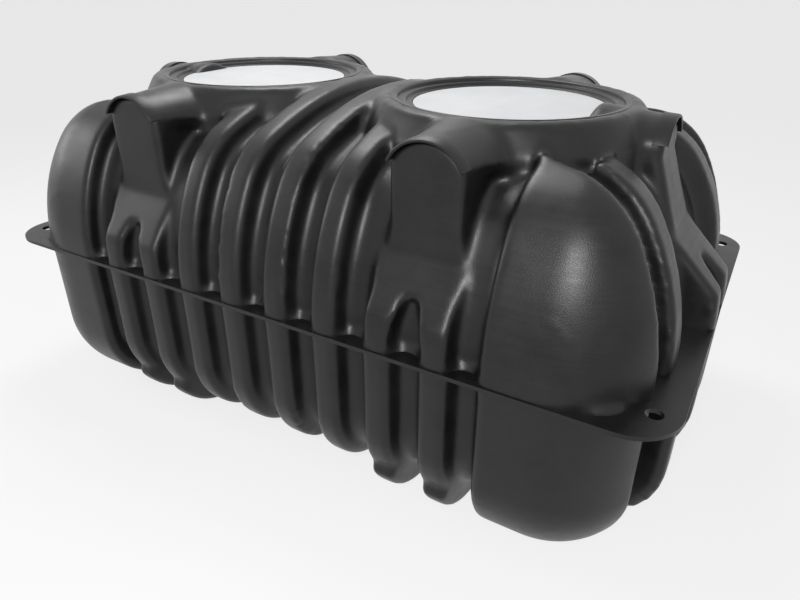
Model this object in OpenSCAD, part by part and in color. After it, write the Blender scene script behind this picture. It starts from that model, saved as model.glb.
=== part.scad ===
// Low flat septic tank: two moulded half shells joined at a seam flange and ribbed across,
// with two manway necks, hooded pipe connection pads and rounded end shells.
// Millimetres. X runs along the tank, Y across it, Z up from the floor.

/* [Body] */
// Width over the rib crests at the seam
body_w = 1434; // [1300:1:1600]
// Height of the middle of the seam flange above the floor
seam_z = 600; // [580:1:700]
// Distance from the middle of the tank to each end face
end_reach = 1162; // [1120:1:1200]
// Distance from the middle of the tank to the inner edge of each end shell
end_start = 745; // [735:1:765]
// Radius of the upright corners of the end shells
corner_r = 277; // [240:1:310]
// Wall of the moulded shells
wall = 12; // [8:1:16]

/* [Arched section] */
// Radius of the tall side of the arch
side_r = 692; // [660:1:740]
// Angle over which the side curves in
side_angle = 33; // [30:1:36]
// Radius of the arch shoulder
shoulder_r = 277; // [260:1:290]
// Radius of the crown
crown_r = 1270; // [1200:1:1400]

/* [Trough section] */
// Radius of the lower edge of the body
bilge_r = 270; // [220:1:300]
// Height from the bottom of the ribs to the flange
trough_h = 544; // [500:1:560]
// Height from the bottom of the end shells to the flange
end_h = 580; // [560:1:590]

/* [Ribs] */
// Distance between rib centres
rib_pitch = 177; // [170:1:182]
// Width of a rib on its crest
rib_crest_w = 80; // [64:1:88]
// Width of a rib at the step in its flank
rib_step_w = 92; // [90:1:100]
// Width of a rib at its foot
rib_foot_w = 106; // [102:1:120]
// Depth of the step in the flank of a rib
rib_step_d = 24; // [12:1:32]
// Depth of the grooves between the ribs
groove_d = 62; // [44:1:72]

/* [Manways] */
// Distance from the middle of the tank to each manway
manway_x = 497; // [485:1:510]
// Outside radius of a manway neck
neck_r = 448; // [440:1:456]
// Radius of the rounding of the rim
rim_round = 44; // [30:1:50]
// Height of the rim above the flange
rim_h = 580; // [570:1:620]
// Radius of the upper step inside the rim
step_upper_r = 348; // [340:1:360]
// Radius of the lower step inside the rim
step_lower_r = 324; // [316:1:332]
// Depth of each step inside the rim
step_d = 10; // [8:1:13]
// Width of the ledge that a cover rests on
seat_w = 24; // [16:1:40]
// Thickness of the ledge that a cover rests on
seat_t = 16; // [12:1:24]
// Diameter of a manway cover
cover_d = 600; // [580:1:616]
// Thickness of a manway cover
cover_t = 14; // [10:1:20]
// Depth of the top of the cover below the rim
cover_sink = 30; // [27:1:40]
// Gap round the edge of a cover
cover_gap = 2; // [1:0.5:4]

/* [Pipe connections] */
// Width of a connection pad
pad_w = 218; // [196:1:230]
// Distance that a side pad lies in from the rib crests
pad_in = 111; // [101:1:115]
// Height of the lower edge of a pad above the flange
pad_foot = 255; // [235:1:275]
// Distance from the top of a pad up to the manway rim
pad_drop = 23; // [20:1:40]
// Radius of the arched top of a pad
pad_arch_r = 112; // [111:1:200]
// Distance that a hood stands out over its pad
hood_out = 10; // [6:1:30]
// Thickness of a hood
hood_t = 20; // [14:1:22]
// Distance that a hood reaches past each side of its pad
hood_side = 10; // [6:1:14]
// Height of the straight crest of a leg above the flange
leg_top = 108; // [90:1:125]
// Height of the pointed groove between two legs
leg_groove_top = 190; // [160:1:205]

/* [End face] */
// Distance that an end pad lies in from the end face
end_pad_in = 94; // [82:1:112]
// Distance that the end legs stand out past the end face
end_leg_out = 61; // [25:1:61]
// Distance that the lower end ribs stand out past the end face
lower_rib_out = 43; // [0:1:56]
// Distance that the tip of a corner shell lies in from the rib crests
tip_in = 343; // [327:1:367]
// Angle in plan between a corner shell's inner edge and the middle plane
splay = 21; // [16:1:24]
// Width of the groove beside a corner shell
end_groove_w = 78; // [60:1:90]
// Width of an end rib
end_rib_w = 110; // [90:1:125]
// Gap between the tip of an end rib and the neck
tip_gap = 30; // [10:1:50]

/* [Seam] */
// Distance that the flange stands out past the end faces
flange_end = 61.5; // [48:0.5:80]
// Distance that the flange stands out past the rib crests
flange_side = 4.5; // [2:0.5:18]
// Thickness of the flange
flange_t = 12; // [8:1:18]
// Corner radius of the flange
flange_r = 134; // [110:1:160]
// Diameter of a lifting hole
lift_hole_d = 44; // [36:1:52]
// Distance that the lifting holes lie in from the end faces
lift_end_in = 5; // [0:1:17]
// Distance that the lifting holes lie in from the rib crests
lift_side_in = 111; // [101:1:121]

/* [Feet] */
// Distance from the middle plane to the inner edge of a foot
foot_inner = 200; // [150:1:260]
// Height of a foot's outer edge above the floor
foot_edge = 150; // [120:1:180]

/* [Hidden] */
$fn = 240;
far = 1500;
// Height of the prisms that trim the upper and lower halves
tall = rim_h + trough_h / 5;
// Overshoot of a cutting shape
over = 20;
// Angle by which an arc stops short of the shoulder disc that it runs into
lap = 0.3;
half_w = body_w / 2;
upper_z = seam_z + flange_t / 2;
lower_z = seam_z - flange_t / 2;
rib_count = 8;
rib_places = [for (i = [0 : rib_count - 1]) (i - (rib_count - 1) / 2) * rib_pitch];
arch_ribs = [for (i = [2 : rib_count - 3]) rib_places[i]];
// Side pads stand between the two outer ribs of each half
pad_x = (rib_places[rib_count - 2] + rib_places[rib_count - 1]) / 2;
pad_y = half_w - pad_in;
end_pad_x = end_reach - end_pad_in;
pad_top = rim_h - pad_drop;
tip_y = half_w - tip_in;
flange_l = 2 * (end_reach + flange_end);
flange_w = body_w + 2 * flange_side;
lift_x = end_reach - lift_end_in;
lift_y = half_w - lift_side_in;
corner_x = end_reach - corner_r;
corner_y = half_w - corner_r;
end_shift = end_reach - half_w;
// Centres of the three arcs of the arch, in (across, up)
side_c = [half_w - side_r, 0];
shoulder_c = side_c + (side_r - shoulder_r) * [cos(side_angle), sin(side_angle)];
crown_angle = acos(shoulder_c[0] / (crown_r - shoulder_r));
crown_c = [0, shoulder_c[1] - (crown_r - shoulder_r) * sin(crown_angle)];

// ---- sections, drawn as (across, up) from the seam ----

// Part of a disc between two angles
module sector(centre, r, from, to) {
    middle = (from + to) / 2;
    intersection() {
        translate(centre) circle(r);
        polygon([
            centre,
            centre + far * [cos(from), sin(from)],
            centre + far * [cos(middle), sin(middle)],
            centre + far * [cos(to), sin(to)]
        ]);
    }
}

// Half of the arched upper section, drawn in by inset
module arch_half(inset) {
    intersection() {
        union() {
            sector(side_c, side_r - inset, 0, side_angle - lap);
            translate(shoulder_c) circle(shoulder_r - inset);
            sector(crown_c, crown_r - inset, crown_angle + lap, 90);
        }
        square([far, far]);
    }
}

// The same half carried on a little below the seam and past the middle, for cutting with
module arch_tool(inset) {
    arch_half(inset);
    translate([-over, -over]) square([half_w - inset + over, over]);
}

// Half of the trough of the lower section, drawn in by inset and growing away from the seam
module trough_half(inset, h) {
    square([half_w - bilge_r, h - inset]);
    square([half_w - inset, h - bilge_r]);
    translate([half_w - bilge_r, h - bilge_r]) circle(bilge_r - inset);
}

// The same half carried on a little past the seam and past the middle, for cutting with
module trough_tool(inset, h) {
    trough_half(inset, h);
    translate([-over, -over]) square([half_w - inset + over, over]);
}

// Half sections of the end shells: the arch for the upper half, the trough for the lower one
module shell_half(upper, inset) {
    if (upper) arch_half(inset);
    else trough_half(inset, end_h);
}

module shell_tool(upper, inset) {
    if (upper) arch_tool(inset);
    else trough_tool(inset, end_h);
}

// Half sections of the panels, ribs and chamber between the end shells
module wall_half(upper, inset) {
    if (upper) arch_half(inset);
    else trough_half(inset, trough_h);
}

module wall_tool(upper, inset) {
    if (upper) arch_tool(inset);
    else trough_tool(inset, trough_h);
}

module both_halves() {
    children();
    mirror([1, 0]) children();
}

// ---- placing ----

// A length of section along the tank
module along(from, to) {
    translate([from, 0, 0]) rotate([90, 0, 90]) linear_extrude(to - from) children();
}

// A half section turned so that it makes the end face
module across(w) {
    rotate([90, 0, 0]) linear_extrude(w, center = true) {
        translate([end_shift, 0]) children();
    }
}

module both_sides() {
    children();
    mirror([0, 1, 0]) children();
}

// Turns the back right quarter into the one that side_x and side_y name
module at_quarter(side_x, side_y) {
    mirror([side_x < 0 ? 1 : 0, 0, 0]) mirror([0, side_y < 0 ? 1 : 0, 0]) children();
}

module on_seam() {
    translate([0, 0, upper_z]) children();
}

module under_seam() {
    translate([0, 0, lower_z]) mirror([0, 0, 1]) children();
}

// ---- ribbed wall, drawn as (out from the crest, along the tank) ----

// Outline of one rib, drawn in by inset
function rib_outline(centre, inset) = [
    [-groove_d - inset, centre - rib_foot_w / 2 + inset],
    [-rib_step_d - inset, centre - rib_step_w / 2 + inset],
    [-inset, centre - rib_crest_w / 2 + inset],
    [-inset, centre + rib_crest_w / 2 - inset],
    [-rib_step_d - inset, centre + rib_step_w / 2 - inset],
    [-groove_d - inset, centre + rib_foot_w / 2 - inset]
];

function joined(lists) = [for (l = lists) for (p = l) p];
function reversed(l) = [for (i = [len(l) - 1 : -1 : 0]) l[i]];

// Folded wall with ribs at the given places
module ribbed_wall(places) {
    outside = joined([for (c = places) rib_outline(c, 0)]);
    inside = joined([for (c = places) rib_outline(c, wall)]);
    polygon(concat(
        [[-groove_d, -end_start]], outside, [[-groove_d, end_start]],
        [[-groove_d - wall, end_start]], reversed(inside), [[-groove_d - wall, -end_start]]
    ));
}

// Sweeps a wall profile round an arc of the section
module sweep_arc(centre, r, from, to) {
    translate([0, centre[0], centre[1]]) rotate([90, 0, 90]) rotate([0, 0, from])
        rotate_extrude(angle = to - from) translate([r, 0]) children();
}

// Sweeps a wall profile along a straight stretch that starts at a point and faces an angle
module sweep_line(start, facing, length) {
    translate([0, start[0], start[1]]) rotate([90, 0, 90]) rotate([0, 0, facing])
        translate([0, length, 0]) rotate([90, 0, 0]) linear_extrude(length) children();
}

// Half section of the arch, carried on past the seam where it is for cutting with
module arch_section(inset, cutting) {
    if (cutting) arch_tool(inset);
    else arch_half(inset);
}

// Space under the ribbed arch, all of its surfaces drawn in by inset
module arch_space(inset, cutting) {
    along(-end_start - inset, end_start + inset) both_halves() arch_section(groove_d + inset, cutting);
    for (c = arch_ribs) {
        rib_stage(c, rib_step_w / 2 - inset) arch_section(rib_step_d + inset, cutting);
        rib_stage(c, rib_crest_w / 2 - inset) arch_section(inset, cutting);
    }
}

module rib_stage(centre, reach) {
    along(centre - reach, centre + reach) both_halves() children();
}

// Folded arch with its ribs, open at the necks and at the side pads
module arch_shell() {
    difference() {
        difference() {
            difference() {
                arch_space(0, false);
                arch_space(wall, true);
            }
            for (side = [-1, 1]) at_quarter(side, 1) neck_space();
        }
        for (side = [-1, 1]) at_quarter(side, 1)
            both_sides() translate([pad_x, 0, 0]) outwards(half_w / 2, half_w) pad_face(0);
    }
}

module trough_sweep(h) {
    both_sides() {
        sweep_line([half_w, 0], 0, h - bilge_r) children();
        sweep_arc([half_w - bilge_r, h - bilge_r], bilge_r, 0, 90) children();
    }
    sweep_line([half_w - bilge_r, h], 90, 2 * (half_w - bilge_r)) children();
}

// ---- rounded ends, drawn at the right ----

// Part of a half section beyond the upright corner's axis, turned round that axis
module turned_corner() {
    translate([corner_x, corner_y, 0]) rotate_extrude(angle = 90) translate([-corner_y, 0])
        intersection() {
            children();
            translate([corner_y, 0]) square([far, far]);
        }
}

// Back half of an end body made from a half section: side, face and upright rounded corner
module end_quarter(from) {
    intersection() {
        intersection() {
            along(from, end_reach + over) children();
            across(body_w + over) children();
        }
        translate([corner_x, corner_y, -2 * over]) linear_extrude(tall) polygon([
            [from - corner_x, -corner_y], [corner_r + over, -corner_y], [corner_r + over, 0],
            [0, 0], [0, corner_r + over], [from - corner_x, corner_r + over]
        ]);
    }
    turned_corner() children();
}

// Plan outline of the back corner shell, its splayed inner edge moved out by inset
module corner_plan(inset) {
    edge = tip_y + inset / cos(splay);
    polygon([
        [end_start, edge], [end_start + half_w, edge + half_w * tan(splay)],
        [end_start + half_w, body_w], [end_start, body_w]
    ]);
}

// Plan outline of the end panel, between the corner shells
module panel_plan() {
    polygon([
        [end_start, -tip_y], [end_start + half_w, -tip_y - half_w * tan(splay)],
        [end_start + half_w, tip_y + half_w * tan(splay)], [end_start, tip_y]
    ]);
}

// Plan outline of the back end rib, drawn in by inset
module end_rib_plan(inset) {
    middle_y = tip_y - (end_groove_w + end_rib_w / 2) / cos(splay);
    start = [end_start - manway_x, middle_y];
    ahead = start * [cos(splay), sin(splay)];
    clear_r = neck_r + tip_gap;
    run = sqrt(ahead * ahead - start * start + clear_r * clear_r) - ahead;
    translate([end_start, middle_y]) rotate(splay) translate([run + inset, inset - end_rib_w / 2])
        square([half_w, end_rib_w - 2 * inset]);
}

// Plan prism that trims a piece of the upper half
module trim() {
    intersection() {
        children(0);
        translate([0, 0, -over]) linear_extrude(tall) children(1);
    }
}

module corner_shell(upper) {
    difference() {
        trim() {
            difference() {
                end_quarter(end_start) shell_half(upper, 0);
                end_quarter(end_start - over) wall_tool(upper, groove_d + wall);
            }
            corner_plan(0);
        }
        trim() {
            difference() {
                end_quarter(end_start + wall) shell_tool(upper, wall);
                end_quarter(end_start - over) wall_half(upper, groove_d + wall + over);
            }
            corner_plan(wall);
        }
    }
}

// Recessed face of an end, between its corner shells
module end_recess(upper) {
    trim() {
        difference() {
            intersection() {
                along(end_start, end_reach) both_halves() wall_half(upper, groove_d);
                across(body_w) wall_half(upper, groove_d);
            }
            chamber_space(upper);
        }
        panel_plan();
    }
}

// Recessed face of the upper end, open at the neck and at the end pad
module end_panel() {
    difference() {
        difference() {
            end_recess(true);
            neck_space();
        }
        rotate([0, 0, -90]) outwards(half_w / 2, end_reach + over) pad_face(0);
    }
}

module end_rib(upper) {
    out = upper ? 0 : lower_rib_out;
    difference() {
        trim() {
            across(body_w) difference() {
                translate([out, 0]) wall_half(upper, 0);
                wall_tool(upper, groove_d);
            }
            end_rib_plan(0);
        }
        trim() {
            across(body_w) difference() {
                translate([out, 0]) wall_tool(upper, wall);
                wall_tool(upper, groove_d + over);
            }
            end_rib_plan(wall);
        }
    }
}

// Two bars down the lower end, in line with the legs above
module lower_legs() {
    for (side = [-1, 1]) translate([0, side * rib_pitch / 2, 0]) across(rib_crest_w) intersection() {
        difference() {
            translate([end_leg_out, 0]) trough_half(0, trough_h);
            trough_tool(groove_d, trough_h);
        }
        translate([end_start - end_shift, 0]) square([far, far]);
    }
}

// ---- pipe connections, drawn in the back wall with Y outwards ----

// Face of a pad, drawn as (along the wall, up): straight sides under an arched top
module pad_face(inset) {
    arch_z = pad_top - pad_arch_r;
    intersection() {
        translate([-pad_w / 2 + inset, pad_foot + inset]) square([pad_w - 2 * inset, pad_top]);
        union() {
            translate([0, arch_z]) circle(pad_arch_r - inset);
            translate([-pad_w, 0]) square([2 * pad_w, arch_z]);
        }
    }
}

// Upright slab between two distances from the middle of the tank
module outwards(from, to) {
    translate([0, to, 0]) rotate([90, 0, 0]) linear_extrude(to - from) children();
}

module pad_block(reach) {
    difference() {
        outwards(half_w / 2, reach) pad_face(0);
        outwards(half_w / 2 - 1, reach - wall) pad_face(wall);
    }
}

module hood_block(reach) {
    outwards(half_w / 2, reach + hood_out) intersection() {
        difference() {
            translate([0, pad_top - pad_arch_r]) circle(pad_arch_r + hood_t);
            translate([0, pad_top - pad_arch_r]) circle(pad_arch_r);
        }
        translate([-pad_w / 2 - hood_side, pad_top - pad_arch_r / 2]) square([pad_w + 2 * hood_side, far]);
    }
}

// Two legs in line with the ribs, under the ledge that slopes up to the foot of a pad
module leg_block(reach, shift, out) {
    width = rib_pitch + rib_crest_w;
    gap = rib_pitch - rib_crest_w;
    lancet_r = (leg_groove_top * leg_groove_top + gap * gap / 4) / gap;
    crest = shift + out + side_c[0] + sqrt(side_r * side_r - leg_top * leg_top);
    difference() {
        translate([-width / 2, 0, 0]) rotate([90, 0, 90]) linear_extrude(width) difference() {
            intersection() {
                translate([shift + out, 0]) arch_half(0);
                polygon([
                    [0, 0], [shift + out + half_w, 0], [shift + out + half_w, leg_top],
                    [crest, leg_top], [reach, pad_foot], [0, pad_foot]
                ]);
            }
            translate([shift, 0]) arch_half(groove_d);
        }
        outwards(0, far) intersection() {
            translate([gap / 2 - lancet_r, 0]) circle(lancet_r);
            translate([lancet_r - gap / 2, 0]) circle(lancet_r);
            translate([-gap, -1]) square([2 * gap, far]);
        }
    }
}

// ---- manway necks, drawn at the right ----

module neck_space() {
    translate([manway_x, 0, 0]) cylinder(r = neck_r, h = tall);
}

// Outside of a neck with its rounded rim
module neck_body() {
    translate([manway_x, 0, 0]) rotate_extrude() neck_outline();
}

module neck_outline() {
    square([neck_r, rim_h - rim_round]);
    square([neck_r - rim_round, rim_h]);
    translate([neck_r - rim_round, rim_h - rim_round]) circle(rim_round);
}

// Space inside the grooves of one half, carried on past the seam
module chamber_space(upper) {
    intersection() {
        along(0, end_reach + over) both_halves() wall_tool(upper, groove_d + wall);
        across(body_w + over) {
            wall_tool(upper, groove_d + wall);
            translate([-end_shift, -over]) square([end_shift, tall]);
        }
    }
}

// Space inside a neck, with its steps and the ledge for the cover
module neck_bore() {
    seat_z = rim_h - cover_sink - cover_t;
    translate([manway_x, 0, 0]) rotate_extrude() polygon([
        [0, -over], [neck_r - wall, -over],
        [neck_r - wall, seat_z - seat_t], [cover_d / 2 - seat_w, seat_z - seat_t],
        [cover_d / 2 - seat_w, seat_z], [cover_d / 2 + cover_gap, seat_z],
        [cover_d / 2 + cover_gap, rim_h - step_d * 2], [step_lower_r, rim_h - step_d * 2],
        [step_lower_r, rim_h - step_d], [step_upper_r, rim_h - step_d],
        [step_upper_r, rim_h + over], [0, rim_h + over]
    ]);
}

module neck() {
    difference() {
        difference() {
            neck_body();
            neck_bore();
        }
        chamber_space(true);
    }
}

module cover() {
    translate([manway_x, 0, rim_h - cover_sink - cover_t]) cylinder(d = cover_d, h = cover_t);
}

// ---- seam and feet ----

module rounded_plate(l, w, r) {
    square([l - 2 * r, w], center = true);
    square([l, w - 2 * r], center = true);
    for (x = [-1, 1], y = [-1, 1]) translate([x * (l / 2 - r), y * (w / 2 - r)]) circle(r);
}

module foot() {
    for (place = [rib_places[rib_count - 2], rib_places[rib_count - 1]])
        along(place - rib_crest_w / 2, place + rib_crest_w / 2) intersection() {
            difference() {
                trough_half(0, lower_z);
                trough_half(0, trough_h);
            }
            translate([foot_inner, lower_z - foot_edge]) square([far, far]);
        }
}

// ---- sub-parts ----

shell_color = "#1b1c1d";
trim_color = "#242526";
cover_color = "#d4d5d6";

module lower_shell() {
    color(shell_color) under_seam() trough_sweep(trough_h) ribbed_wall(rib_places);
}

module lower_end_at(side) {
    color(shell_color) under_seam() at_quarter(side, 1) end_recess(false);
}

module lower_corners_at(side) {
    color(shell_color) under_seam() at_quarter(side, 1) both_sides() corner_shell(false);
}

module lower_ribs_at(side) {
    color(shell_color) under_seam() at_quarter(side, 1) {
        both_sides() end_rib(false);
        lower_legs();
    }
}

module foot_at(side_x, side_y) {
    color(trim_color) under_seam() at_quarter(side_x, side_y) foot();
}

module seam_flange() {
    inner = groove_d + wall;
    color(trim_color) translate([0, 0, lower_z]) linear_extrude(flange_t) difference() {
        rounded_plate(flange_l, flange_w, flange_r);
        rounded_plate(2 * (end_reach - inner), body_w - 2 * inner, corner_r - inner);
        for (x = [-1, 1], y = [-1, 1]) translate([x * lift_x, y * lift_y]) circle(d = lift_hole_d);
    }
}

module upper_shell() {
    color(shell_color) on_seam() arch_shell();
}

module end_panel_at(side) {
    color(shell_color) on_seam() at_quarter(side, 1) end_panel();
}

module corner_at(side_x, side_y) {
    color(shell_color) on_seam() at_quarter(side_x, side_y) corner_shell(true);
}

module end_rib_at(side_x, side_y) {
    color(shell_color) on_seam() at_quarter(side_x, side_y) end_rib(true);
}

module side_pad_at(side_x, side_y) {
    color(trim_color) on_seam() at_quarter(side_x, side_y) difference() {
        difference() {
            translate([pad_x, 0, 0]) pad_block(pad_y);
            chamber_space(true);
        }
        neck_space();
    }
}

module end_pad_at(side) {
    color(trim_color) on_seam() at_quarter(side, 1) difference() {
        difference() {
            rotate([0, 0, -90]) pad_block(end_pad_x);
            chamber_space(true);
        }
        neck_space();
    }
}

module side_hood_at(side_x, side_y) {
    color(trim_color) on_seam() at_quarter(side_x, side_y) difference() {
        translate([pad_x, 0, 0]) hood_block(pad_y);
        neck_body();
    }
}

module end_hood_at(side) {
    color(trim_color) on_seam() at_quarter(side, 1) difference() {
        rotate([0, 0, -90]) hood_block(end_pad_x);
        neck_body();
    }
}

module side_legs_at(side_x, side_y) {
    color(shell_color) on_seam() at_quarter(side_x, side_y)
        translate([pad_x, 0, 0]) leg_block(pad_y, 0, 0);
}

module end_legs_at(side) {
    color(shell_color) on_seam() at_quarter(side, 1)
        rotate([0, 0, -90]) leg_block(end_pad_x, end_shift, end_leg_out);
}

module neck_at(side) {
    color(trim_color) on_seam() at_quarter(side, 1) neck();
}

module cover_at(side) {
    color(cover_color) on_seam() at_quarter(side, 1) cover();
}

lower_shell();
lower_end_at(-1);  // lower_end_left
lower_end_at(1);  // lower_end_right
lower_corners_at(-1);  // lower_corners_left
lower_corners_at(1);  // lower_corners_right
lower_ribs_at(-1);  // lower_ribs_left
lower_ribs_at(1);  // lower_ribs_right
foot_at(-1, -1);  // foot_front_left
foot_at(1, -1);  // foot_front_right
foot_at(-1, 1);  // foot_back_left
foot_at(1, 1);  // foot_back_right
seam_flange();
upper_shell();
end_panel_at(-1);  // end_panel_left
end_panel_at(1);  // end_panel_right
corner_at(-1, -1);  // corner_front_left
corner_at(1, -1);  // corner_front_right
corner_at(-1, 1);  // corner_back_left
corner_at(1, 1);  // corner_back_right
end_rib_at(-1, -1);  // end_rib_front_left
end_rib_at(1, -1);  // end_rib_front_right
end_rib_at(-1, 1);  // end_rib_back_left
end_rib_at(1, 1);  // end_rib_back_right
side_pad_at(-1, -1);  // pad_front_left
side_pad_at(1, -1);  // pad_front_right
side_pad_at(-1, 1);  // pad_back_left
side_pad_at(1, 1);  // pad_back_right
end_pad_at(-1);  // pad_end_left
end_pad_at(1);  // pad_end_right
side_hood_at(-1, -1);  // hood_front_left
side_hood_at(1, -1);  // hood_front_right
side_hood_at(-1, 1);  // hood_back_left
side_hood_at(1, 1);  // hood_back_right
end_hood_at(-1);  // hood_end_left
end_hood_at(1);  // hood_end_right
side_legs_at(-1, -1);  // legs_front_left
side_legs_at(1, -1);  // legs_front_right
side_legs_at(-1, 1);  // legs_back_left
side_legs_at(1, 1);  // legs_back_right
end_legs_at(-1);  // legs_end_left
end_legs_at(1);  // legs_end_right
neck_at(-1);  // neck_left
neck_at(1);  // neck_right
cover_at(-1);  // cover_left
cover_at(1);  // cover_right
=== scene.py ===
import math

import bmesh
import bpy
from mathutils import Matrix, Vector


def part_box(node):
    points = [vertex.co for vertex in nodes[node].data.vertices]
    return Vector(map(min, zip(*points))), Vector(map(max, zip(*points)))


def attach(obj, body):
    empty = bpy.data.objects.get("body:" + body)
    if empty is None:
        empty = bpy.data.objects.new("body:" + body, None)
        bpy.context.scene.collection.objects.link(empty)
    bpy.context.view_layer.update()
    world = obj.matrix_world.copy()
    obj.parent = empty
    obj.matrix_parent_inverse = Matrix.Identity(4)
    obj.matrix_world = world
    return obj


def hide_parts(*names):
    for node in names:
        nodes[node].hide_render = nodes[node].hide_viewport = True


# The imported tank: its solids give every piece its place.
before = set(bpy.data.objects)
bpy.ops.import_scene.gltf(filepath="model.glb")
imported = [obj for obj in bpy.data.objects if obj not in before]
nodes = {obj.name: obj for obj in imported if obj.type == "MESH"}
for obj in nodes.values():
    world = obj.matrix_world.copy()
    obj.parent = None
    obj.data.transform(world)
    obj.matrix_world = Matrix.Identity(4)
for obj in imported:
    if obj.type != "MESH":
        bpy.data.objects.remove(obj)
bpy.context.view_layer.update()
scene = bpy.context.scene

# Camera: it stands off the front right corner of the tank, a little above the manways, and looks down along
# the front side through a wide lens.
camera = bpy.data.objects.new("camera", bpy.data.cameras.new("camera"))
camera.data.sensor_width = 36.0
camera.data.lens = 28.94
camera.data.shift_y = -0.003
camera.location = (1.2573, -1.9546, 1.5424)
camera.rotation_euler = (math.radians(62.512), math.radians(-0.227), math.radians(30.636))
scene.collection.objects.link(camera)
scene.camera = camera


# Moulded black polyethylene: the skin left by a rotational mould. It is satin, with a fine orange-peel grain,
# cloudy patches of gloss and faint level streaks where powder has flowed.
def grain_group():
    group = bpy.data.node_groups.new("moulded grain", "ShaderNodeTree")
    face = group.interface
    for label, value in (("Peel size", 260.0), ("Cloud size", 9.0), ("Streak", 0.3)):
        socket = face.new_socket(label, in_out="INPUT", socket_type="NodeSocketFloat")
        socket.default_value = value
    face.new_socket("Peel", in_out="OUTPUT", socket_type="NodeSocketFloat")
    face.new_socket("Cloud", in_out="OUTPUT", socket_type="NodeSocketFloat")
    entry = group.nodes.new("NodeGroupInput")
    out = group.nodes.new("NodeGroupOutput")
    place = group.nodes.new("ShaderNodeTexCoord")
    peel = group.nodes.new("ShaderNodeTexNoise")
    peel.inputs["Detail"].default_value = 3.0
    cloud = group.nodes.new("ShaderNodeTexNoise")
    cloud.inputs["Detail"].default_value = 5.0
    cloud.inputs["Roughness"].default_value = 0.65
    level = group.nodes.new("ShaderNodeMapping")
    level.inputs["Scale"].default_value = (1.5, 1.5, 60.0)
    streak = group.nodes.new("ShaderNodeTexNoise")
    streak.inputs["Scale"].default_value = 2.0
    streak.inputs["Detail"].default_value = 4.0
    blend = group.nodes.new("ShaderNodeMix")
    blend.data_type = "FLOAT"
    link = group.links.new
    link(place.outputs["Object"], peel.inputs["Vector"])
    link(entry.outputs["Peel size"], peel.inputs["Scale"])
    link(place.outputs["Object"], cloud.inputs["Vector"])
    link(entry.outputs["Cloud size"], cloud.inputs["Scale"])
    link(place.outputs["Object"], level.inputs["Vector"])
    link(level.outputs["Vector"], streak.inputs["Vector"])
    link(entry.outputs["Streak"], blend.inputs["Factor"])
    link(cloud.outputs["Fac"], blend.inputs["A"])
    link(streak.outputs["Fac"], blend.inputs["B"])
    link(peel.outputs["Fac"], out.inputs["Peel"])
    link(blend.outputs["Result"], out.inputs["Cloud"])
    return group


def polyethylene(name, dark, light, smooth, rough, peel_size, peel_depth):
    """A moulded plastic between two tones and two roughnesses, with a grain of a given size and depth."""
    material = bpy.data.materials.new(name)
    material.use_nodes = True
    tree = material.node_tree
    shader = tree.nodes["Principled BSDF"]
    grain = tree.nodes.new("ShaderNodeGroup")
    grain.node_tree = grain_tree
    grain.inputs["Peel size"].default_value = peel_size
    colour = tree.nodes.new("ShaderNodeValToRGB")
    colour.color_ramp.elements[0].position = 0.35
    colour.color_ramp.elements[0].color = (*dark, 1.0)
    colour.color_ramp.elements[1].position = 0.7
    colour.color_ramp.elements[1].color = (*light, 1.0)
    gloss = tree.nodes.new("ShaderNodeMapRange")
    gloss.inputs["From Min"].default_value = 0.3
    gloss.inputs["From Max"].default_value = 0.7
    gloss.inputs["To Min"].default_value = smooth
    gloss.inputs["To Max"].default_value = rough
    shader.inputs["Specular IOR Level"].default_value = 0.36
    bump = tree.nodes.new("ShaderNodeBump")
    bump.inputs["Strength"].default_value = 0.5
    bump.inputs["Distance"].default_value = peel_depth
    link = tree.links.new
    link(grain.outputs["Cloud"], colour.inputs["Fac"])
    link(colour.outputs["Color"], shader.inputs["Base Color"])
    link(grain.outputs["Cloud"], gloss.inputs["Value"])
    link(gloss.outputs["Result"], shader.inputs["Roughness"])
    link(grain.outputs["Peel"], bump.inputs["Height"])
    link(bump.outputs["Normal"], shader.inputs["Normal"])
    return material


grain_tree = grain_group()
black_plastic = polyethylene(
    "black polyethylene", dark=(0.003, 0.003, 0.0033), light=(0.009, 0.009, 0.0095),
    smooth=0.30, rough=0.46, peel_size=430.0, peel_depth=0.0008,
)


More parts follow.
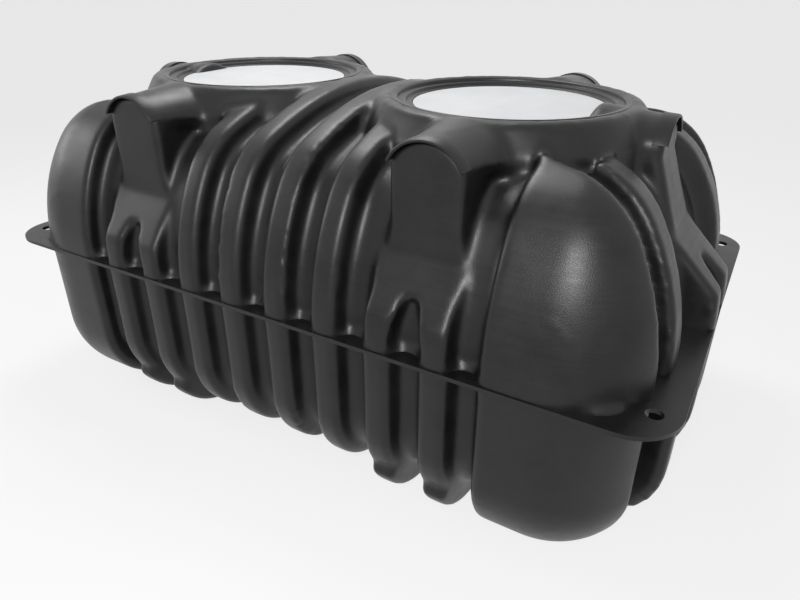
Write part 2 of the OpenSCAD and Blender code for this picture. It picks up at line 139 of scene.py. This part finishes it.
# Upper and lower mouldings: the tank comes out of its mould with every edge rounded and every inside corner
# filled. The solids are joined and drawn as one skin, first grown to fill the corners, then shrunk and grown
# again to round the edges, and the skin is cut at the seam and across the middle.
def moulded_skin(name):
    tree = bpy.data.node_groups.new(name, "GeometryNodeTree")
    tree.is_modifier = True
    face = tree.interface
    face.new_socket("Solids", in_out="INPUT", socket_type="NodeSocketGeometry")
    inputs = {}
    for text in ("Cell size", "Corner fill", "Shrink", "Edge round"):
        inputs[text] = face.new_socket(text, in_out="INPUT", socket_type="NodeSocketFloat")
    inputs["Band"] = face.new_socket("Band", in_out="INPUT", socket_type="NodeSocketInt")
    inputs["Relax"] = face.new_socket("Relax", in_out="INPUT", socket_type="NodeSocketInt")
    inputs["Plastic"] = face.new_socket("Plastic", in_out="INPUT", socket_type="NodeSocketMaterial")
    face.new_socket("Skin", in_out="OUTPUT", socket_type="NodeSocketGeometry")
    entry = tree.nodes.new("NodeGroupInput")
    link = tree.links.new
    mesh = entry.outputs["Solids"]
    for step in ("Corner fill", "Shrink", "Edge round"):
        distance = tree.nodes.new("GeometryNodeMeshToSDFGrid")
        surface = tree.nodes.new("GeometryNodeGridToMesh")
        link(mesh, distance.inputs["Mesh"])
        link(entry.outputs["Cell size"], distance.inputs["Voxel Size"])
        link(entry.outputs["Band"], distance.inputs["Band Width"])
        link(distance.outputs["SDF Grid"], surface.inputs["Grid"])
        link(entry.outputs[step], surface.inputs["Threshold"])
        mesh = surface.outputs["Mesh"]
    place = tree.nodes.new("GeometryNodeInputPosition")
    relax = tree.nodes.new("GeometryNodeBlurAttribute")
    relax.data_type = "FLOAT_VECTOR"
    move = tree.nodes.new("GeometryNodeSetPosition")
    shade = tree.nodes.new("GeometryNodeSetShadeSmooth")
    real = tree.nodes.new("GeometryNodeRealizeInstances")
    finish = tree.nodes.new("GeometryNodeSetMaterial")
    out = tree.nodes.new("NodeGroupOutput")
    link(mesh, move.inputs["Geometry"])
    link(place.outputs["Position"], relax.inputs["Value"])
    link(entry.outputs["Relax"], relax.inputs["Iterations"])
    link(relax.outputs["Value"], move.inputs["Position"])
    link(move.outputs["Geometry"], shade.inputs["Geometry"])
    link(shade.outputs["Geometry"], real.inputs["Geometry"])
    link(real.outputs["Geometry"], finish.inputs["Geometry"])
    link(entry.outputs["Plastic"], finish.inputs["Material"])
    link(finish.outputs["Geometry"], out.inputs["Skin"])
    return tree, {text: socket.identifier for text, socket in inputs.items()}


def evaluated_mesh(piece):
    """The mesh of a piece with its modifiers carried out."""
    bpy.context.view_layer.update()
    evaluated = piece.evaluated_get(bpy.context.evaluated_depsgraph_get())
    return bpy.data.meshes.new_from_object(evaluated)


def add_turned(form, centre, profile, turns):
    """Adds a solid turned about an upright axis; its profile starts on the axis or closes on itself."""
    rings = []
    for radius, height in profile:
        angles = [math.tau * k / turns for k in range(turns)] if radius > 0 else [0.0]
        points = [(centre + radius * math.cos(a), radius * math.sin(a), height) for a in angles]
        rings.append([form.verts.new(point) for point in points])
    closing = [] if len(rings[0]) == 1 else [rings[0]]
    for below, above in zip(rings, rings[1:] + closing):
        for k in range(turns):
            n = (k + 1) % turns
            corners = [below[k % len(below)], below[n % len(below)]]
            corners += [above[n % len(above)], above[k % len(above)]]
            form.faces.new(dict.fromkeys(corners))


def arch(middle, radius, half, steps):
    """Points (across, height) of an arch that reaches a half angle to each side of its top."""
    angles = [half * (2 * k / steps - 1) for k in range(steps + 1)]
    return [(radius * math.sin(a), middle + radius * math.cos(a)) for a in angles]


def add_loft(form, rings):
    """Adds a closed solid lofted through rings of corners of the same count, with flat ends."""
    count = len(rings[0])
    for below, above in zip(rings, rings[1:]):
        for k in range(count):
            n = (k + 1) % count
            form.faces.new((below[k], below[n], above[n], above[k]))
    form.faces.new(rings[0])
    form.faces.new(rings[-1])


# Where the hoods stand: one over each pad. Each place turns a distance across the pad, a distance out from
# its face and a height into a point of the tank.
low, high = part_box("neck_right")
manway_x = (low[0] + high[0]) / 2
neck_r = (high[0] - low[0]) / 2
low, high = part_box("pad_front_right")
pad_x, pad_y, pad_top = (low[0] + high[0]) / 2, -low[1], high[2]
end_pad_low, end_pad_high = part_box("pad_end_right")
end_lean = 0.078
end_pad_x, pad_half = end_pad_high[0] - end_lean, end_pad_high[1]
arch_r = 0.112
arch_z = pad_top - arch_r
hood_places = []
for s in (-1, 1):
    hood_places.append(lambda w, out, z, s=s: (s * (end_pad_x + out), w, z))
for t in (-1, 1):
    for s in (-1, 1):
        hood_places.append(lambda w, out, z, s=s, t=t: (s * pad_x + w, t * (pad_y + out), z))

# The solids that the skin is drawn over as they are. The necks, the hoods and the end pads are drawn again in
# the same places, so that their walls lean.
redrawn = ("neck", "hood", "pad_end")
apart = ("seam_flange", "cover")
members = [n for n in nodes if not n.startswith(apart + redrawn)]
seam_low, seam_high = (corner[2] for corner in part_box("seam_flange"))
form = bmesh.new()
for member in members:
    form.from_mesh(nodes[member].data)
bmesh.ops.remove_doubles(form, verts=form.verts, dist=1e-6)
dress = bmesh.new()

# Necks: a wall that leans in from its foot up to a broad rounded crest, with a round recess for the steps and
# the disc.
neck_foot, lean_foot, lean_top, crest_z = 0.80, 1.098, 1.168, 1.180
recess_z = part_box("cover_right")[0][2] - 0.008
crest_outer, crest_mid, crest_inner = 0.400, 0.388, 0.356
for centre in (-manway_x, manway_x):
    add_turned(dress, centre, [
        (0, neck_foot), (neck_r, neck_foot), (neck_r, lean_foot), (crest_outer + 0.008, lean_top),
        (crest_outer, crest_z - 0.0035), (crest_mid, crest_z), (crest_inner, crest_z - 0.004),
        (crest_inner, recess_z), (0, recess_z),
    ], turns=160)

# End pads: blocks under the end hoods. Each has an arched top, and a face that leans out towards the legs as
# it goes down. Its back stays inside the wall of the neck.
outline = [(pad_half, end_pad_low[2]), (-pad_half, end_pad_low[2])]
outline += arch(arch_z, arch_r, math.asin(pad_half / arch_r), 24)
slope = end_lean / (arch_z - end_pad_low[2])
pad_back = manway_x + crest_inner + 0.02
for side in (-1, 1):
    face = [(side * (end_pad_x + slope * max(0, arch_z - z)), w, z) for w, z in outline]
    back = [(side * pad_back, w, z) for w, z in outline]
    add_loft(dress, [[dress.verts.new(point) for point in ring] for ring in (face, back)])

# Cores of the ribs that run into the necks: they close the ends of the folds, which stand open where a neck
# leans in from its foot. The two outer ribs of the crown only have them near the necks.
foot_low, foot_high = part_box("foot_front_right")
crest_w, flank_w, crown_r, core_reach, core_foot = 0.080, 0.011, 1.270, 0.42, 0.94
rib_pitch = foot_high[0] - foot_low[0] - crest_w
crown_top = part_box("upper_shell")[1][2] - 0.001
for step, start in ((-1.5, 0.335), (-0.5, 0.0), (0.5, 0.0), (1.5, 0.335)):
    for across in (-1, 1):
        rings = []
        for k in range(11):
            y = across * (start + (core_reach - start) * k / 10)
            top = crown_top - crown_r + math.sqrt(crown_r ** 2 - y ** 2)
            half = crest_w / 2 - 0.002
            corners = ((-half - flank_w, core_foot), (-half, top), (half, top), (half + flank_w, core_foot))
            rings.append([dress.verts.new((step * rib_pitch + x, y, z)) for x, z in corners])
        add_loft(dress, rings)

# Hoods: each widens and sinks from the lip over its pad back to the crest of the neck. A section says how far
# out it stands, the middle and radius of its arch, and the height at which its sides end.
hood_sections = (
    (-0.008, arch_z, arch_r + 0.007, arch_z + 0.055),
    (-0.10, arch_z - 0.008, 0.133, arch_z + 0.040),
    (-0.22, arch_z - 0.03, 0.165, arch_z),
)
for place in hood_places:
    rings = []
    for out, middle, radius, foot in hood_sections:
        row = arch(middle, radius, math.acos((foot - middle) / radius), 24)
        rings.append([dress.verts.new(place(w, out, z)) for w, z in row])
    add_loft(dress, rings)

# A plate that closes the seam while the skin is drawn, so that the skin leaves out the inside of the tank.
# Then all of it is joined and the skin is drawn.
end_reach, body_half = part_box("lower_corners_right")[1][0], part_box("lower_shell")[1][1]
plate_x, plate_y, plate_out = end_reach - 0.05, body_half - 0.03, 0.004
made = bmesh.ops.create_cube(dress, size=1.0)
for corner in made["verts"]:
    corner.co = Vector((
        math.copysign(plate_x, corner.co[0]), math.copysign(plate_y, corner.co[1]),
        seam_high + plate_out if corner.co[2] > 0 else seam_low - plate_out,
    ))
bmesh.ops.recalc_face_normals(dress, faces=dress.faces)
dressing = bpy.data.meshes.new("dressing")
dress.to_mesh(dressing)
dress.free()
form.from_mesh(dressing)
joined = bpy.data.meshes.new("joined solids")
form.to_mesh(joined)
form.free()
whole = bpy.data.objects.new("whole_skin", joined)
scene.collection.objects.link(whole)

skin_tree, skin_sockets = moulded_skin("moulded skin")
cell = 0.0077
fill, edge = 0.016, 0.014
skin = whole.modifiers.new("skin", "NODES")
skin.node_group = skin_tree
for text, value in (
    ("Cell size", cell), ("Corner fill", fill), ("Shrink", -fill - edge), ("Edge round", edge),
    ("Band", math.ceil((fill + edge) / cell) + 3), ("Relax", 2), ("Plastic", black_plastic),
):
    skin[skin_sockets[text]] = value
skin_mesh = evaluated_mesh(whole)
bpy.data.objects.remove(whole)


# The four mouldings: each is the part of the skin on one side of the seam and on one side of the middle. It is
# closed flat where it is cut, and both halves meet at the top of the seam flange.
def moulding(name, upward, rightward, replaced):
    part = bmesh.new()
    part.from_mesh(skin_mesh)
    cuts = ((Vector((0, 0, seam_high)), Vector((0, 0, upward))), (Vector(), Vector((rightward, 0, 0))))
    for point, facing in cuts:
        every = list(part.verts) + list(part.edges) + list(part.faces)
        cut = bmesh.ops.bisect_plane(part, geom=every, plane_co=point, plane_no=facing, clear_inner=True)
        rim = [item for item in cut["geom_cut"] if isinstance(item, bmesh.types.BMEdge)]
        for made in bmesh.ops.holes_fill(part, edges=rim)["faces"]:
            for border in made.edges:
                border.smooth = False
    mesh = bpy.data.meshes.new(name)
    part.to_mesh(mesh)
    part.free()
    mesh.materials.append(black_plastic)
    piece = bpy.data.objects.new(name, mesh)
    scene.collection.objects.link(piece)
    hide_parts(*replaced)
    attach(piece, "root")


for label, upward in (("upper", 1), ("lower", -1)):
    for side, rightward in (("left", -1), ("right", 1)):
        replaced = []
        for member in [n for n in nodes if not n.startswith(apart)]:
            low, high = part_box(member)
            in_half = (low[2] + high[2] > seam_low + seam_high) == (upward > 0)
            if in_half and (low[0] + high[0]) * rightward > -0.001:
                replaced.append(member)
        moulding(label + "_moulding_" + side, upward, rightward, replaced)

# Seam flange: the trimmed rim where the halves are joined, a flat band of the same plastic with a lifting
# hole at each corner.
nodes["seam_flange"].data.materials.clear()
nodes["seam_flange"].data.materials.append(black_plastic)

# Rim steps: the ring of two shallow steps turned inside each neck, between its crest and the disc. Every edge
# of a step is eased, because the plastic can't fill a sharp corner of the mould.
def new_piece(name, form, plastic):
    """Makes a smooth piece of a form, with its edges of over 40 degrees kept sharp."""
    bmesh.ops.recalc_face_normals(form, faces=form.faces)
    for face in form.faces:
        face.smooth = True
    for border in form.edges:
        border.smooth = border.calc_face_angle(0.0) < math.radians(40)
    mesh = bpy.data.meshes.new(name)
    form.to_mesh(mesh)
    form.free()
    mesh.materials.append(plastic)
    piece = bpy.data.objects.new(name, mesh)
    scene.collection.objects.link(piece)
    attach(piece, "root")


low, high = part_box("cover_right")
disc_r, disc_top = (high[0] - low[0]) / 2, high[2]
ledge_r, step_r, crown_edge_r = 0.3200, 0.3475, 0.3715
ledge_z, step_z, edge_z = disc_top + 0.002, disc_top + 0.011, crest_z - 0.002
for side, centre in (("left", -manway_x), ("right", manway_x)):
    form = bmesh.new()
    add_turned(form, centre, [
        (disc_r + 0.0015, recess_z - 0.01), (disc_r + 0.0015, ledge_z - 0.002), (disc_r + 0.0035, ledge_z),
        (ledge_r - 0.002, ledge_z), (ledge_r, ledge_z + 0.0015), (ledge_r + 0.0012, step_z - 0.0025),
        (ledge_r + 0.0035, step_z), (step_r - 0.002, step_z), (step_r, step_z + 0.0015),
        (step_r + 0.0012, edge_z - 0.003), (step_r + 0.004, edge_z), (0.366, crest_z + 0.0004),
        (crown_edge_r, crest_z - 0.0035), (crown_edge_r, recess_z - 0.01),
    ], turns=240)
    new_piece("rim_steps_" + side, form, black_plastic)

# Hood lips: the thin edge of each hood, which stands a little out over the face of its pad. Its front edge is
# eased above and below.
form = bmesh.new()
lip_under, lip_over, lip_out, lip_back = arch_r + 0.0015, arch_r + 0.0105, 0.013, -0.030
lip_foot = arch_z + 0.056
lip_profile = (
    (lip_under, lip_back), (lip_under, lip_out - 0.002), (lip_under + 0.002, lip_out),
    (lip_over - 0.003, lip_out), (lip_over, lip_out - 0.004), (lip_over + 0.002, lip_back),
)
for place in hood_places:
    rows = []
    for radius, out in lip_profile:
        row = arch(arch_z, radius, math.acos((lip_foot - arch_z) / radius), 48)
        rows.append([form.verts.new(place(w, out, z)) for w, z in row])
    for below, above in zip(rows, rows[1:] + rows[:1]):
        for k in range(48):
            form.faces.new((below[k], below[k + 1], above[k + 1], above[k]))
    for end in (0, -1):
        form.faces.new([row[end] for row in rows])
new_piece("hood_lips", form, black_plastic)

# Manway covers: pale grey discs that rest inside the necks, of a matt plastic with a grain that hardly shows.
disc_plastic = polyethylene(
    "pale grey disc", dark=(0.55, 0.56, 0.57), light=(0.64, 0.65, 0.66),
    smooth=0.45, rough=0.6, peel_size=420.0, peel_depth=0.0004,
)
for side in ("left", "right"):
    disc = nodes["cover_" + side]
    disc.data.materials.clear()
    disc.data.materials.append(disc_plastic)

# Floor and studio light: a pale floor that goes on to the horizon under a white studio sky. The tank itself
# is lit by a dim grey sky and three large soft lamps.
def white_where_seen(tree, plain, share, output):
    """Shows a plain white in place of the lit surface, by a share, to the camera and in reflections."""
    white = tree.nodes.new("ShaderNodeEmission" if output == "Material Output" else "ShaderNodeBackground")
    white.inputs["Color"].default_value = (1.0, 1.0, 1.0, 1.0)
    seen = tree.nodes.new("ShaderNodeLightPath")
    any_seen = seen.outputs["Is Camera Ray"]
    for kind in ("Is Glossy Ray", "Is Transmission Ray"):
        either = tree.nodes.new("ShaderNodeMath")
        either.operation = "MAXIMUM"
        tree.links.new(any_seen, either.inputs[0])
        tree.links.new(seen.outputs[kind], either.inputs[1])
        any_seen = either.outputs["Value"]
    part = tree.nodes.new("ShaderNodeMath")
    part.operation = "MULTIPLY"
    part.inputs[1].default_value = share
    mix = tree.nodes.new("ShaderNodeMixShader")
    tree.links.new(any_seen, part.inputs[0])
    tree.links.new(part.outputs["Value"], mix.inputs["Fac"])
    tree.links.new(plain, mix.inputs[1])
    tree.links.new(white.outputs[0], mix.inputs[2])
    tree.links.new(mix.outputs["Shader"], tree.nodes[output].inputs["Surface"])


floor_mesh = bpy.data.meshes.new("floor")
far = 60
floor_mesh.from_pydata([(-far, -far, 0), (far, -far, 0), (far, far, 0), (-far, far, 0)], [], [(0, 1, 2, 3)])
floor = bpy.data.objects.new("floor", floor_mesh)
scene.collection.objects.link(floor)
floor_paint = bpy.data.materials.new("floor")
floor_paint.use_nodes = True
paint = floor_paint.node_tree.nodes["Principled BSDF"]
paint.inputs["Base Color"].default_value = (0.8, 0.8, 0.8, 1.0)
paint.inputs["Roughness"].default_value = 0.9
paint.inputs["Specular IOR Level"].default_value = 0.0
white_where_seen(floor_paint.node_tree, paint.outputs["BSDF"], 0.75, "Material Output")
floor_mesh.materials.append(floor_paint)

world = bpy.data.worlds.new("studio")
scene.world = world
world.use_nodes = True
behind = world.node_tree.nodes["Background"]
behind.inputs["Color"].default_value = (0.25, 0.25, 0.25, 1.0)
behind.inputs["Strength"].default_value = 1.0
white_where_seen(world.node_tree, behind.outputs["Background"], 1.0, "World Output")

for name, place, aim, size, power in (
    ("key lamp", (1.5, -3.3, 2.7), (0.8, -0.5, 0.9), 0.8, 110.0),
    ("left lamp", (-4.0, -1.5, 2.2), (-0.6, -0.4, 0.8), 1.6, 40.0),
    ("top lamp", (-0.85, 0.8, 3.6), (0.2, -0.2, 1.1), 1.4, 60.0),
):
    lamp = bpy.data.lights.new(name, "AREA")
    lamp.size = size
    lamp.energy = power
    lamp_holder = bpy.data.objects.new(name, lamp)
    lamp_holder.location = place
    lamp_holder.rotation_euler = (Vector(aim) - Vector(place)).to_track_quat("-Z", "Y").to_euler()
    scene.collection.objects.link(lamp_holder)

scene.view_settings.view_transform = "Standard"
